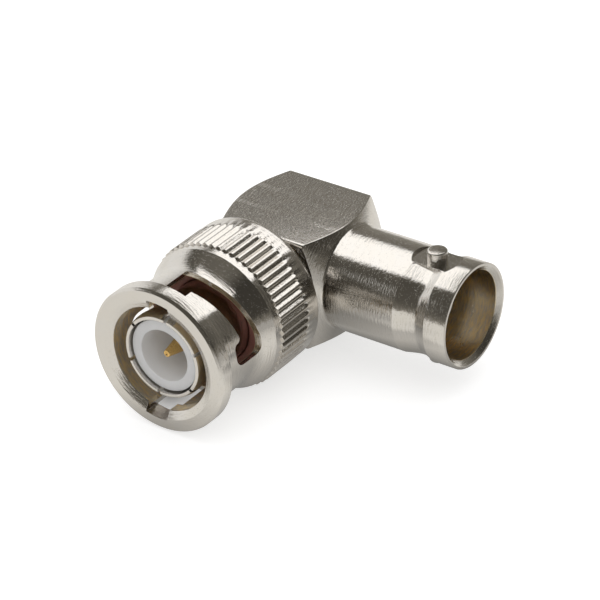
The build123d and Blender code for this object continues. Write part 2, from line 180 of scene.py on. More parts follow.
class PlugSizes(PropertyGroup):
    """Sizes of the plug's outer contact, insulator, pin and gasket."""
    sleeve_radius: length("Sleeve radius", 3.88, "Radius of the sprung sleeve")
    sleeve_bore: length("Sleeve bore", 3.58, "Bore of the sprung fingers")
    sleeve_bead: length("Sleeve bead", 0.15, "Height of the contact bead")
    bead_depth: length("Bead depth", 1.1, "Depth at which the bead ends")
    finger_length: length("Finger length", 4.4, "Length of the slits")
    slit_width: length("Slit width", 0.3, "Width of a slit")
    slit_phase: angle("Slit phase", 9.2, "First slit, from +Z towards +X")
    flange_depth: length("Flange depth", 9.4, "Depth of the flange's front")
    flange_thickness: length("Flange thickness", 1.0, "Thickness of the flange")
    flange_radius: length("Flange radius", 4.87, "Radius of the flange")
    neck_radius: length("Neck radius", 4.0, "Radius of the neck behind the flange")
    neck_end: length("Neck end", 16.01, "Depth at which the neck ends, inside the block")
    insulator_radius: length("Insulator radius", 3.42, "Radius of the plug's insulator")
    insulator_front: length("Insulator front", 0.35, "Depth of the insulator's front face")
    insulator_bore: length("Insulator bore", 2.45, "Radius of the bore round the pin")
    insulator_floor: length("Insulator floor", 6.3, "Depth of that bore's floor")
    pin_radius: length("Pin radius", 0.675, "Radius of the centre pin")
    pin_front: length("Pin front", 0.7, "Depth of the pin's tip")
    pin_tip: length("Pin tip", 0.32, "Radius of the pin's flat tip")
    pin_taper: length("Pin taper", 1.75, "Length of the pin's taper")
    pin_dimple: length("Pin dimple", 0.15, "Radius of the turning mark in the tip")
    pin_shank: length("Pin shank", 0.9, "Radius of the shank inside the insulator")
    pin_tail: length("Pin tail", 0.5, "Radius of the pin's solder tail")
    pin_end: length("Pin end", 20.4, "Depth of the tail's end")
    gasket_front: length("Gasket front", 7.2, "Depth of the gasket's front")
    gasket_radius: length("Gasket radius", 4.85, "Outer radius of the gasket")
    gasket_bore: length("Gasket bore", 3.92, "Inner radius of the gasket")
    gasket_edge: length("Gasket edge", 0.15, "Rounding of the gasket's edges")


class JackSizes(PropertyGroup):
    """Sizes of the jack's insulator and centre contact."""
    nipple_radius: length("Nipple radius", 2.35, "Radius of the insulator's nipple")
    nipple_setback: length("Nipple setback", 3.6, "Mouth to the insulator's front")
    insulator_rear: length("Insulator rear", 3.4, "Plug's axis to the insulator's rear face")
    insulator_bore: length("Insulator bore", 1.07, "Radius of the hole for the contact")
    socket_radius: length("Socket radius", 1.05, "Radius of the slotted contact")
    socket_bore: length("Socket bore", 0.69, "Radius of the contact's bore")
    socket_depth: length("Socket depth", 5.0, "Depth of the contact's bore")
    socket_recess: length("Socket recess", 0.2, "Insulator's front to the contact's front")
    slit_width: length("Slit width", 0.2, "Width of a slit in the contact")
    slit_length: length("Slit length", 4.2, "Length of a slit in the contact")
    tail_radius: length("Tail radius", 0.8, "Radius of the contact's solder tail")
    tail_end: length("Tail end", -1.3, "Where the tail ends, along the jack")
    cross_hole: length("Cross hole", 0.53, "Radius of the hole that takes the pin's tail")


class WasherSizes(PropertyGroup):
    """Sizes of the wave washer, at rest."""
    front: length("Front", 10.42, "Depth of the wave washer's fixed front")
    rear: length("Rear", 11.86, "Depth of its rear at rest")
    strip: length("Strip", 0.25, "Thickness of its strip")
    bore: length("Bore", 4.15, "Inner radius of the strip")
    width: length("Width", 0.6, "Width of the strip")
    travel: length("Travel", 1.1, "Length by which the pulled nut flattens it")
    waves: number("Waves", 3.0, "Waves in a full turn")


class Finishes(PropertyGroup):
    """Colours and surface marks of the adapter's finishes."""
    nickel: colour("Nickel", (0.69, 0.665, 0.63), "Bright nickel plate")
    nickel_dark: colour("Nickel shade", (0.72, 0.66, 0.57), "Nickel plate inside bores and slots")
    bore_tint: colour("Bore stain", (1.0, 0.81, 0.48), "Brass that shows through inside bores")
    gold: colour("Gold", (0.83, 0.55, 0.20), "Gold plate")
    silicone: colour("Silicone", (0.37, 0.165, 0.145), "Dark red silicone rubber")
    fluoropolymer: colour("Fluoropolymer", (0.93, 0.93, 0.93), "Turned fluoropolymer")
    bronze: colour("Spring bronze", (0.55, 0.36, 0.17), "Wave washer's strip")
    steel: colour("Steel", (0.48, 0.47, 0.45), "Thrust washer's steel")
    polish: number("Polish", 0.085, "Roughness of the plated outside")
    bore_haze: number("Bore haze", 0.42, "Roughness added inside the nut")
    mouth_haze: number("Mouth haze", 0.2, "Roughness added inside the jack")
    milled_haze: number("Milled haze", 0.11, "Roughness added on the milled flats")
    ripple: length("Ripple", 0.006, "Height of the plate's fine ripple")
    ripple_scale: number("Ripple scale", 3800.0, "Ripples in one metre")
    turning: length("Turning marks", 0.028, "Height of the short turning marks")
    streak_scale: number("Streak scale", 5600.0, "Turning marks in one metre")
    rings: length("Rings", 0.006, "Height of the fine rings")
    ring_scale: number("Ring scale", 9000.0, "Rings in one metre")
    pitting: length("Pitting", 0.045, "Depth of the pits on the milled flats")
    specks: length("Specks", 0.007, "Height of the scattered specks in the plate")
    speck_scale: number("Speck scale", 10000.0, "Specks in one metre")
    pit_scale: number("Pit scale", 8000.0, "Pits in one metre")
    haze_scale: number("Haze scale", 700.0, "Patches of haze in one metre")
    soft_edge: length("Soft edge", 0.04, "Rounding that the plate gives to every edge")


class StageSettings(PropertyGroup):
    """Camera, floor and light."""
    azimuth: angle("Azimuth", 36.76, "Camera's direction round the object")
    elevation: angle("Elevation", 31.31, "Camera's height above the horizon")
    roll: angle("Roll", -2.6, "Camera's roll")
    distance: length("Distance", 285.0, "Camera's distance")
    aim_right: length("Aim right", -0.41, "Object's place right of the frame's middle")
    aim_up: length("Aim up", 3.8, "Object's place above the frame's middle")
    pixels_per_mm: number("Pixels per millimetre", 11.182, "Scale at the aim point, in 600 pixels")
    floor_height: length("Floor height", -7.06, "Height of the floor")
    floor_radius: length("Floor radius", 400.0, "Radius of the floor")
    panel_left: length("Panel left", -10.5, "Overhead panel's left side")
    panel_right: length("Panel right", 15.0, "Overhead panel's right side")
    panel_front: length("Panel front", 10.0, "Overhead panel's front side")
    panel_back: length("Panel back", 34.0, "Overhead panel's back side")
    panel_height: length("Panel height", 19.0, "Overhead panel's height")
    panel_cut: length("Panel cut", 10.0, "Length cut from the panel's back left corner")
    panel_border: length("Panel border", 2.2, "Width over which the panel fades out")
    panel_strength: number("Panel strength", 1.45, "Overhead panel's brightness")
    floor_far: number("Floor far", 0.88, "Brightness of the open floor, reflected")
    # Painted shadow: brightness of the reflected floor below the object.
    floor_painted_shadow: number("Floor near", 0.26, "Brightness of the floor below the object, reflected")
    floor_shown: number("Floor shown", 0.62, "Share of the shown floor's white that is its own")
    floor_reach: number("Floor reach", 0.5, "Share that distances count for beside the knurl")
    # Painted shadow: share of the shown floor's own white in the nut's shade.
    floor_painted_shade: number("Floor hidden", 0.04, "The same share in the nut's shade")
    fill: number("Fill", 0.82, "Brightness of the soft light from above")


def in_mm(group):
    """The group's values as plain numbers, lengths in millimetres."""
    values = {}
    for name, entry in group.bl_rna.properties.items():
        if name in ("rna_type", "name"):
            continue
        value = getattr(group, name)
        values[name] = value * 1000 if getattr(entry, "unit", "") == "LENGTH" else value
    return SimpleNamespace(**values)


def rounded(corners, steps=4, closed=True):
    """Points of an outline whose corners (a, b, radius) are rounded by arcs.

    A rounding takes at most just under half of the shorter side.
    """
    side_share = 0.48
    points = []
    count = len(corners)
    for i, (a, b, radius) in enumerate(corners):
        here = complex(a, b)
        if radius == 0 or (not closed and i in (0, count - 1)):
            points.append((a, b))
            continue
        before = complex(*corners[i - 1][:2]) - here
        after = complex(*corners[(i + 1) % count][:2]) - here
        way_in = before / abs(before)
        way_out = after / abs(after)
        half = abs(cmath.phase(way_in / way_out)) / 2
        reach = min(radius / tan(half), side_share * abs(before), side_share * abs(after))
        size = reach * tan(half)
        middle = (way_in + way_out) / abs(way_in + way_out) * size / sin(half)
        start = way_in * reach - middle
        turn = cmath.phase((way_out * reach - middle) / start)
        for k in range(steps + 1):
            point = here + middle + start * cmath.rect(1, turn * k / steps)
            points.append((point.real, point.imag))
    return points


def spun(outline, along, steps, closed=True):
    """Shape turned from (place, radius) points about the plug's or the jack's axis.

    One sector is spun and copied round, so that every sector meets the next exactly.
    """
    depth = 1000 * bpy.context.scene.adapter_elbow.elbow_depth
    bm = bmesh.new()
    if along == "plug":
        verts = [bm.verts.new((0, place, radius)) for place, radius in outline]
        centre, axis = (0, 0, 0), (0, 1, 0)
    else:
        verts = [bm.verts.new((place, depth, radius)) for place, radius in outline]
        centre, axis = (0, depth, 0), (1, 0, 0)
    pairs = list(zip(verts, verts[1:]))
    if closed:
        pairs.append((verts[-1], verts[0]))
    edges = [bm.edges.new(pair) for pair in pairs]
    sectors = next(count for count in (24, 16, 12, 8, 6, 5, 4, 3, 2, 1) if steps % count == 0)
    bmesh.ops.spin(bm, geom=verts + edges, cent=centre, axis=axis, dvec=(0, 0, 0),
                   angle=2 * pi / sectors, steps=steps // sectors, use_merge=False,
                   use_normal_flip=False, use_duplicate=False)
    middle = Matrix.Translation(centre)
    copies = [bm.copy() for _ in range(sectors)]
    for k, copy in enumerate(copies):
        turn = Matrix.Rotation(2 * pi * k / sectors, 4, Vector(axis))
        copy.transform(middle @ turn @ middle.inverted())
    bm.free()
    whole = joined(copies)
    bmesh.ops.remove_doubles(whole, verts=whole.verts, dist=same_point)
    bmesh.ops.recalc_face_normals(whole, faces=whole.faces)
    return whole


def prism(outline, direction, start, end):
    """Closed prism of a plan outline, between two places along an axis through its points."""
    bm = bmesh.new()
    verts = [bm.verts.new(direction(a, b, start)) for a, b in outline]
    face = bm.faces.new(verts)
    made = bmesh.ops.extrude_face_region(bm, geom=[face])
    for vert in made["geom"]:
        if isinstance(vert, bmesh.types.BMVert):
            index = min(range(len(verts)), key=lambda i: (verts[i].co - vert.co).length)
            vert.co = direction(*outline[index], end)
    bmesh.ops.triangulate(bm, faces=[f for f in bm.faces if len(f.verts) > 4])
    bmesh.ops.recalc_face_normals(bm, faces=bm.faces)
    return bm


def drum(centre, axis, radius, reach, steps=96):
    """Plain cylinder used as a cutter, centred on a point."""
    bm = bmesh.new()
    bmesh.ops.create_cone(bm, cap_ends=True, cap_tris=False, segments=steps, radius1=radius,
                          radius2=radius, depth=reach)
    turn = Vector((0, 0, 1)).rotation_difference(Vector(axis)).to_matrix().to_4x4()
    bm.transform(Matrix.Translation(Vector(centre)) @ turn)
    return bm


def bar(low, high):
    """Plain box used as a cutter, between two corners."""
    bm = bmesh.new()
    bmesh.ops.create_cube(bm, size=1)
    low, high = Vector(low), Vector(high)
    size = high - low
    bm.transform(Matrix.Translation((low + high) / 2) @ Matrix.Diagonal((*size, 1)))
    return bm


def turned_copy(bm, turn):
    """A shape turned about the plug's axis, from +Z towards +X. The given one is used up."""
    bm.transform(Matrix.Rotation(turn, 4, "Y"))
    return bm


def as_mesh(bm, name):
    """Mesh made from a shape, which is then freed."""
    mesh = bpy.data.meshes.new(name)
    bm.to_mesh(mesh)
    bm.free()
    return mesh


def put_in_scene(name, data):
    """New object of the scene."""
    thing = bpy.data.objects.new(name, data)
    bpy.context.scene.collection.objects.link(thing)
    return thing


def joined(shapes):
    """Several shapes in one."""
    whole = bmesh.new()
    for shape in shapes:
        mesh = as_mesh(shape, "part")
        whole.from_mesh(mesh)
        bpy.data.meshes.remove(mesh)
    return whole


def combined(base, tools, operation):
    """base with tools cut from it or added to it."""
    before = len(base.faces)
    body = put_in_scene("base", as_mesh(base, "base"))
    tool = put_in_scene("tool", as_mesh(joined(tools), "tool"))
    step = body.modifiers.new("combine", "BOOLEAN")
    step.object = tool
    step.operation = operation
    step.solver = "MANIFOLD"
    bpy.context.view_layer.update()
    view = body.evaluated_get(bpy.context.evaluated_depsgraph_get())
    mesh = bpy.data.meshes.new_from_object(view)
    result = bmesh.new()
    result.from_mesh(mesh)
    for thing in (body, tool):
        old = thing.data
        bpy.data.objects.remove(thing)
        bpy.data.meshes.remove(old)
    bpy.data.meshes.remove(mesh)
    if len(result.faces) in (0, before):
        raise RuntimeError("a cut or a joining of shapes changed nothing")
    bmesh.ops.dissolve_degenerate(result, dist=same_point / 10, edges=result.edges)
    return result


def finished(bm, name, body, nodes, material, crease=radians(28)):
    """Makes a shape a piece: scaled, smooth within the crease angle, dressed and riding a body."""
    bm.transform(Matrix.Scale(0.001, 4))
    bm.normal_update()
    for face in bm.faces:
        face.smooth = True
    for edge in bm.edges:
        edge.smooth = edge.calc_face_angle(0) < crease
    piece = put_in_scene(name, as_mesh(bm, name))
    even = piece.modifiers.new("even shading", "WEIGHTED_NORMAL")
    even.keep_sharp = True
    even.weight = 80
    piece.data.materials.append(material)
    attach(piece, body)
    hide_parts(*nodes)
    return piece


class Tree:
    """Short way to write a material's nodes."""

    def __init__(self, owner):
        self.material = owner
        owner.use_nodes = True
        self.nodes = owner.node_tree.nodes
        self.links = owner.node_tree.links
        self.shader = self.nodes.get("Principled BSDF")

    def put(self, kind, settings=None, **inputs):
        """Adds a node, sets its own settings and its inputs, and gives the node."""
        node = self.nodes.new("ShaderNode" + kind)
        for key, value in (settings or {}).items():
            setattr(node, key, value)
        for key, value in inputs.items():
            self.feed(node, key.replace("_", " "), value)
        return node

    def out(self, kind, settings=None, **inputs):
        """First output of a new node."""
        return self.put(kind, settings, **inputs).outputs[0]

    def feed(self, node, key, value):
        """Sets an input by name or by index, as i0, or links it. A colour gets its full alpha."""
        by_index = key[0] == "i" and key[1:].isdigit()
        socket = node.inputs[int(key[1:]) if by_index else key]
        if isinstance(value, bpy.types.NodeSocket):
            self.links.new(value, socket)
        elif socket.type == "RGBA":
            socket.default_value = (*value, 1.0)
        else:
            socket.default_value = value

    def dress(self, **inputs):
        """Sets or links the shader's own inputs, and gives the material."""
        for key, value in inputs.items():
            self.feed(self.shader, key.replace("_", " "), value)
        return self.material

    def surface(self, shader):
        """Takes another shader in place of the material's own."""
        self.nodes.remove(self.shader)
        self.links.new(shader, self.nodes["Material Output"].inputs["Surface"])
        return self.material

    def by_ray(self, kind, others, chosen):
        """Shader that differs for one kind of ray."""
        share = self.put("LightPath").outputs[kind]
        return self.out("MixShader", i0=share, i1=others, i2=chosen)

    def maths(self, operation, a, b=0.0, c=0.0):
        """Result of one arithmetic step."""
        return self.out("Math", {"operation": operation}, i0=a, i1=b, i2=c)

    def place(self):
        """Object coordinates as a vector."""
        return self.put("TexCoord").outputs["Object"]

    def noise(self, vector, scale, detail=2.0, roughness=0.5):
        """Noise value between 0 and 1."""
        return self.out("TexNoise", Vector=vector, Scale=scale, Detail=detail, Roughness=roughness)

    def span(self, value, low, high, start=0.0, end=1.0):
        """Value mapped from low..high to start..end, held at both ends."""
        return self.out("MapRange", {"clamp": True}, i0=value, i1=low, i2=high, i3=start, i4=end)

    def blend(self, share, a, b):
        """Mix of two colours."""
        return self.put("Mix", {"data_type": "RGBA"}, i0=share, i6=a, i7=b).outputs[2]

    def ramp(self, value, stops):
        """Colour from a value, read off a list of (place, colour)."""
        node = self.put("ValToRGB", i0=value)
        elements = node.color_ramp.elements
        while len(elements) < len(stops):
            elements.new(0.5)
        for element, (place, shade) in zip(elements, stops):
            element.position = place
            element.color = (*shade, 1.0)
        return node.outputs[0]

    def hypotenuse(self, a, b):
        """Length of the vector (a, b)."""
        squares = self.maths("ADD", self.maths("MULTIPLY", a, a), self.maths("MULTIPLY", b, b))
        return self.maths("SQRT", squares)

    def polar(self, along):
        """(place along the axis, radius, angle) about the plug's or the jack's axis, in metres."""
        parts = self.put("SeparateXYZ", Vector=self.place()).outputs
        if along == "plug":
            reach, a, b = parts[1], parts[0], parts[2]
        else:
            depth = bpy.context.scene.adapter_elbow.elbow_depth
            reach, a, b = parts[0], self.maths("SUBTRACT", parts[1], depth), parts[2]
        return reach, self.hypotenuse(a, b), self.maths("ARCTAN2", a, b)

    def wound(self, polar, length_per_turn):
        """Place in which a noise is drawn out round the axis, as a lathe's marks are."""
        reach, radius, turn = polar
        return self.out("CombineXYZ", i0=reach, i1=radius,
                        i2=self.maths("MULTIPLY", turn, length_per_turn))

    def raised(self, height, distance, normal=None):
        """Bumped normal from a height between 0 and 1, distance tall."""
        below = {} if normal is None else {"Normal": normal}
        return self.out("Bump", Strength=1.0, Distance=distance, Height=height, **below)


def scaled(value, share):
    """Colour made lighter or darker."""
    return tuple(part * share for part in value)


def nickel(name, along, bore_radius=0.0, bore_start=0.0, bore_haze=0.0, milled=False):
    """Bright nickel plate over turned metal: short streaks round the axis and a fine ripple.

    Inside bore_radius, behind bore_start, the metal is rougher and warmer. With milled, the
    block's flats are pitted.
    """
    looks = bpy.context.scene.adapter_finishes
    tree = Tree(bpy.data.materials.new(name))
    polar = tree.polar(along)
    reach, radius = polar[:2]
    marks = tree.noise(tree.wound(polar, streak_wind), looks.streak_scale, 3.0, 0.6)
    lines = tree.noise(tree.wound(polar, ring_wind), looks.ring_scale, 2.0, 0.6)
    skin = tree.noise(tree.place(), looks.ripple_scale, 3.0, 0.6)
    haze = tree.noise(tree.place(), looks.haze_scale, 4.0, 0.6)
    seam, fade = 0.00002, 0.00005
    inside = tree.maths(
        "MULTIPLY", tree.span(radius, bore_radius + seam, bore_radius + seam + fade, 1.0, 0.0),
        tree.span(reach, bore_start, bore_start + fade))
    rough = tree.span(haze, 0.3, 0.75, looks.polish * 0.8, looks.polish * 1.3)
    rough = tree.maths("ADD", rough, tree.maths("MULTIPLY", inside, bore_haze))
    tint = tree.blend(tree.span(haze, 0.35, 0.7, 0.0, 0.2), looks.nickel, looks.nickel_dark)
    # Inside bores the colour turns warmer and golden, patchy along the turning marks.
    bore_colour = tree.blend(tree.span(marks, 0.35, 0.65), looks.nickel_dark, looks.bore_tint)
    normal = tree.out("Bevel", {"samples": 4}, Radius=looks.soft_edge)
    normal = tree.raised(lines, looks.rings, normal)
    normal = tree.raised(marks, looks.turning, normal)
    scatter = tree.noise(tree.place(), looks.speck_scale, 1.0)
    normal = tree.raised(tree.span(scatter, 0.68, 0.74), looks.specks, normal)
    if milled:
        flat = on_flats(tree)
        grain = tree.span(tree.noise(tree.place(), looks.pit_scale, 1.0), 0.66, 0.74)
        rough = tree.maths("ADD", rough, tree.maths("MULTIPLY", flat, looks.milled_haze))
        normal = tree.raised(tree.maths("MULTIPLY", grain, flat), looks.pitting, normal)
    normal = tree.raised(skin, looks.ripple, normal)
    return tree.dress(Normal=normal, Roughness=rough, Metallic=1.0,
                      Base_Color=tree.blend(inside, tint, bore_colour))


def on_flats(tree):
    """1 on the four milled flats of the block and 0 elsewhere."""
    sizes = bpy.context.scene.adapter_elbow
    parts = tree.put("SeparateXYZ", Vector=tree.place()).outputs
    across = tree.maths("ABSOLUTE", tree.maths("SUBTRACT", parts[1], sizes.elbow_depth))
    widest = tree.maths("MAXIMUM", across, tree.maths("ABSOLUTE", parts[2]))
    depth, fade = 0.00003, 0.00002
    low = sizes.half_width - depth
    at_face = tree.span(widest, low, low + fade)
    block_end = 0.0065
    before_end = tree.span(parts[0], block_end, block_end + 0.0001, 1.0, 0.0)
    return tree.maths("MULTIPLY", at_face, before_end)


def build_elbow():
    """Block, barrel, groove, lugs and bores in one shape."""
    s = in_mm(bpy.context.scene.adapter_elbow)
    slope = tan(s.cone_angle)
    rear, front, mouth = -s.rear_reach, s.front_reach, s.jack_reach
    land = mouth - s.land_length
    shoulder = mouth - s.bore_depth
    wall = shoulder - s.shoulder_wall
    cone_start = 0.2
    rear_foot = (rear + cone_start * slope, s.end_circle + cone_start)
    front_foot = (front - cone_start * slope, s.end_circle + cone_start)
    root = front + (s.end_circle - s.barrel_radius) * slope
    nipple_way = 2.36
    # The square block's points are spun at stand-in radii from mark up, and placed below.
    mark = 20
    section_steps = 4
    section_count = 2 * (section_steps + 1)
    block_marks = [(0, mark + k) for k in range(section_count)]
    groove_steps = 34
    groove_span = land - s.groove_start
    groove = [(s.groove_start + groove_span * k / groove_steps, s.barrel_radius)
              for k in range(groove_steps + 1)]
    outside = (
        rounded([(rear, s.cap_radius, 0), (rear, s.end_circle, 0.06), (*rear_foot, 0)],
                closed=False)
        + block_marks
        + rounded([(*front_foot, 0), (root, s.barrel_radius, s.root_fillet),
                   (s.groove_start - 0.05, s.barrel_radius, 0)], closed=False)
        + groove
        + rounded([(land + 0.01, s.land_radius, 0), (mouth, s.land_radius, 0.07),
                   (mouth, s.bore_radius + s.mouth_chamfer, 0.04),
                   (mouth - s.mouth_chamfer_depth, s.bore_radius, 0.1),
                   (shoulder, s.bore_radius, 0.05), (shoulder, nipple_way, 0.04),
                   (wall, nipple_way, 0), (wall, s.chamber_radius, 0),
                   (rear + s.cap_recess + s.cap_thickness, s.chamber_radius, 0),
                   (rear + s.cap_recess + s.cap_thickness, s.cap_radius, 0)], closed=False)
    )
    # Degrees from a lug, with finer steps at the groove's end and at the square's corners.
    stops = [0, 12, 15, 20, 43.2, 46.8, 90]
    paces = [1.5, 0.5, 0.2, 1.16, 0.24, 1.2]
    quarter = []
    for low, high, pace in zip(stops, stops[1:], paces):
        count = ceil((high - low) / pace)
        quarter += [low + (high - low) * k / count for k in range(count)]
    half_turn = quarter + [180 - a for a in [90] + quarter[:0:-1]]
    turns = [radians(a) for a in half_turn] + [pi + radians(a) for a in half_turn]
    bm = spun(outside, "jack", len(turns))
    depth = s.elbow_depth
    corner = s.half_width - s.bar_edge

    def bar_reach(turn):
        """Distance from the axis to the rounded square at an angle."""
        aside = abs((turn + pi / 4) % (pi / 2) - pi / 4)
        if aside <= atan2(corner, s.half_width):
            return s.half_width / cos(aside)
        across = corner * (cos(aside) + sin(aside))
        return across + sqrt(across ** 2 - 2 * corner ** 2 + s.bar_edge ** 2)

    def groove_radius(place):
        """Radius of the groove's own profile at a place along the jack."""
        fall, rise = 1.5, 1.2
        if place <= s.groove_low:
            share = max(0.0, (place - s.groove_start) / (s.groove_low - s.groove_start))
            return s.groove_floor + (s.barrel_radius - s.groove_floor) * (1 - share) ** fall
        share = (place - s.groove_low) / (land - s.groove_low)
        return s.groove_floor + (s.land_radius - s.groove_floor) * share ** rise

    def inside_groove(place, turn):
        """Distance inside the groove's rounded end, in millimetres."""
        from_lug = min(turn % pi, pi - turn % pi)
        round_off = 0.55
        ahead = max(0.0, round_off - (place - s.groove_start), round_off - (land - place))
        aside = (from_lug - s.groove_stop) * s.barrel_radius
        if aside > round_off or ahead == 0:
            return aside
        return round_off - hypot(ahead, max(0.0, round_off - aside))

    end_slope = 2.2
    sections = {}
    for vert in bm.verts:
        place, a, b = vert.co.x, vert.co.y - depth, vert.co.z
        radius = hypot(a, b)
        step = round((atan2(a, b) % (2 * pi)) / (2 * pi) * len(turns)) % len(turns)
        turn = turns[step]
        if radius > mark - 1:
            if step not in sections:
                reach = bar_reach(turn)
                rise = (reach - s.end_circle) * slope
                sections[step] = rounded(
                    [(*rear_foot, 0), (rear + rise, reach, s.arc_edge),
                     (front - rise, reach, s.arc_edge), (*front_foot, 0)],
                    steps=section_steps, closed=False)[1:-1]
            place, radius = sections[step][round(radius) - mark]
        elif abs(radius - s.barrel_radius) < 0.001 and s.groove_start < place < land + 0.001:
            inside = inside_groove(place, turn)
            if inside > 0:
                radius = max(groove_radius(place), s.barrel_radius - end_slope * inside)
        vert.co = (place, depth + radius * sin(turn), radius * cos(turn))
    bmesh.ops.recalc_face_normals(bm, faces=bm.faces)
    lug = (mouth - s.lug_setback, depth)
    pocket_top = 1.5
    pockets = [drum((*lug, side * (s.pocket_floor + pocket_top)), (0, 0, 1), s.pocket_radius,
                    2 * pocket_top, steps=160) for side in (1, -1)]
    face = depth - s.half_width
    neck_radius, ahead = 4.0, 1
    seat = drum((0, face - ahead + (ahead + s.neck_seat) / 2, 0), (0, 1, 0), neck_radius,
                ahead + s.neck_seat)
    way = drum((0, face + s.half_width / 2, 0), (0, 1, 0), s.side_bore, s.half_width)
    bm = combined(bm, pockets, "DIFFERENCE")
    bm = combined(bm, [seat], "DIFFERENCE")
    bm = combined(bm, [way], "DIFFERENCE")
    return combined(bm, [lug_post(s, lug, side) for side in (1, -1)], "UNION")


def lug_post(s, lug, side):
    """One bayonet lug as a short post with a rounded end."""
    sunk = 0.25
    foot = s.pocket_floor - sunk
    outline = rounded([(foot, 0, 0), (foot, s.lug_radius, 0),
                       (s.lug_reach, s.lug_radius, s.lug_edge), (s.lug_reach, 0, 0)], closed=False)
    bm = bmesh.new()
    verts = [bm.verts.new((lug[0] + radius, lug[1], height * side)) for height, radius in outline]
    edges = [bm.edges.new(pair) for pair in zip(verts, verts[1:])]
    bmesh.ops.spin(bm, geom=verts + edges, cent=(*lug, 0), axis=(0, 0, 1), dvec=(0, 0, 0),
                   angle=2 * pi, steps=64, use_merge=True, use_normal_flip=False,
                   use_duplicate=False)
    bmesh.ops.remove_doubles(bm, verts=bm.verts, dist=same_point / 10)
    bmesh.ops.recalc_face_normals(bm, faces=bm.faces)
    return bm


def build_nut():
    """Coupling nut: turned blank with its ribs, then the slots."""
    s = in_mm(bpy.context.scene.adapter_nut)
    front = -s.front_lead
    ribs = 60
    steps_per_rib = 12
    flare_steps = 14
    flare = [(s.waist_end + (s.flare_depth - s.waist_end) * k / flare_steps,
              s.waist_radius + (s.flare_radius - s.waist_radius) * (k / flare_steps) ** 2, 0)
             for k in range(flare_steps + 1)]
    foot = s.knurl_radius - s.knurl_depth
    crest = s.knurl_radius
    run_start = s.knurl_rear - s.knurl_runout
    run_steps = 5
    shoulder_land, rib_front = 0.1, 0.04
    ribbed = [(s.knurl_front, crest, 0), (s.knurl_front + rib_front, crest, 0),
              (run_start, crest, 0)]
    ribbed += [(run_start + s.knurl_runout * k / run_steps, crest, 0) for k in range(1, run_steps)]
    round_steps = 10
    bow = [pi / 2 * k / round_steps for k in range(round_steps + 1)]
    rear_round = [(s.rear_depth - s.rear_round * (1 - sin(turn)),
                   s.rear_radius + (s.band_radius - s.rear_radius) * cos(turn), 0) for turn in bow]
    corners = [
        (front, s.mouth_radius, 0.03), (front, s.face_radius, 0.05),
        (front + s.collar_break, s.collar_radius, 0.12), (s.collar_rear, s.collar_radius, 0.06),
        (s.collar_rear, s.waist_radius, s.waist_fillet), *flare,
        (s.shoulder_depth, s.shoulder_radius, 0.025),
        (s.shoulder_depth + shoulder_land, s.shoulder_radius + 0.01, 0),
        (s.knurl_front - rib_front / 2, foot, 0), *ribbed, (s.knurl_rear, s.band_radius, 0),
        *rear_round,
        (s.rear_depth, s.neck_bore, 0.05), (s.inner_shoulder, s.neck_bore, 0),
        (s.inner_shoulder, s.bore_radius, 0), (s.relief_end, s.bore_radius, 0.04),
        (s.relief_end, s.relief_radius, 0), (s.relief_start, s.relief_radius, 0.1),
        (s.relief_start, s.bore_radius, 0.04), (front + s.mouth_depth, s.bore_radius, 0.12),
    ]
    bm = spun(rounded(corners), "plug", ribs * steps_per_rib)
    half_groove = s.groove_share / 2
    near = 0.001
    groove_curve = 0.85
    for vert in bm.verts:
        radius = hypot(vert.co.x, vert.co.z)
        depth = vert.co.y
        on_ribs = s.knurl_front - near < depth < s.knurl_rear - near
        if not on_ribs or abs(radius - crest) > near / 2:
            continue
        turn = atan2(vert.co.x, vert.co.z)
        share = turn / (2 * pi) * ribs
        aside = abs(share - round(share))
        cut = s.knurl_depth * max(0.0, 1 - aside / half_groove) ** groove_curve
        fade = min(1.0, (s.knurl_rear - depth) / s.knurl_runout)
        scale = (crest - cut * sqrt(max(0.0, fade))) / radius
        vert.co.x *= scale
        vert.co.z *= scale
    bm = combined(bm, [turned_copy(slot_cutter(s), k * pi) for k in range(2)], "DIFFERENCE")
    return combined(bm, [turned_copy(entry_cutter(s), k * pi) for k in range(2)], "DIFFERENCE")


def slot_cutter(s):
    """Cutter for one bayonet slot, drawn as (way round the waist, depth) and pushed outwards."""
    mean = s.waist_radius
    half = s.slot_width / 2
    entry = s.entry_angle * mean
    catch = s.catch_angle * mean
    ramp_start = s.ramp_start * mean
    ramp_end = s.ramp_end * mean
    start = s.collar_rear + 0.03
    full, ramp_round = 0.98, 3.0
    corners = [
        (entry - half, start, 0),
        (entry - half, s.entry_depth + half, 0.05),
        (ramp_start, s.entry_depth + half, ramp_round),
        (ramp_end, s.ramp_depth + half, 2.0),
        (catch + half, s.ramp_depth + half, half * full),
        (catch + half, s.catch_depth - half, half * full),
        (catch - half, s.catch_depth - half, half * 0.9),
        (catch - half, s.ramp_depth - half - 0.02, 0.45),
        (ramp_start, s.entry_depth - half, ramp_round),
        (entry + half, s.entry_depth - half, 0.12),
        (entry + half, start, 0),
    ]
    outline = finer(rounded(corners, steps=8), 0.35)

    def direction(a, b, radius):
        """Point of the plan at a radius. The entry and the catch keep parallel sides."""
        if a < entry + half:
            aside = a - entry
        elif a > catch - half:
            aside = a - catch
        else:
            aside = half - 2 * half * (a - entry - half) / (catch - entry - 2 * half)
        turn = (a - aside) / mean + asin(aside / radius)
        return (radius * sin(turn), b, radius * cos(turn))

    inside, outside = s.bore_radius - 0.8, 12.0
    return prism(outline, direction, inside, outside)


def finer(outline, pace):
    """Outline with its long sides divided."""
    points = []
    for (a0, b0), (a1, b1) in zip(outline, outline[1:] + outline[:1]):
        count = max(1, ceil(hypot(a1 - a0, b1 - b0) / pace))
        points += [(a0 + (a1 - a0) * k / count, b0 + (b1 - b0) * k / count) for k in range(count)]
    return points


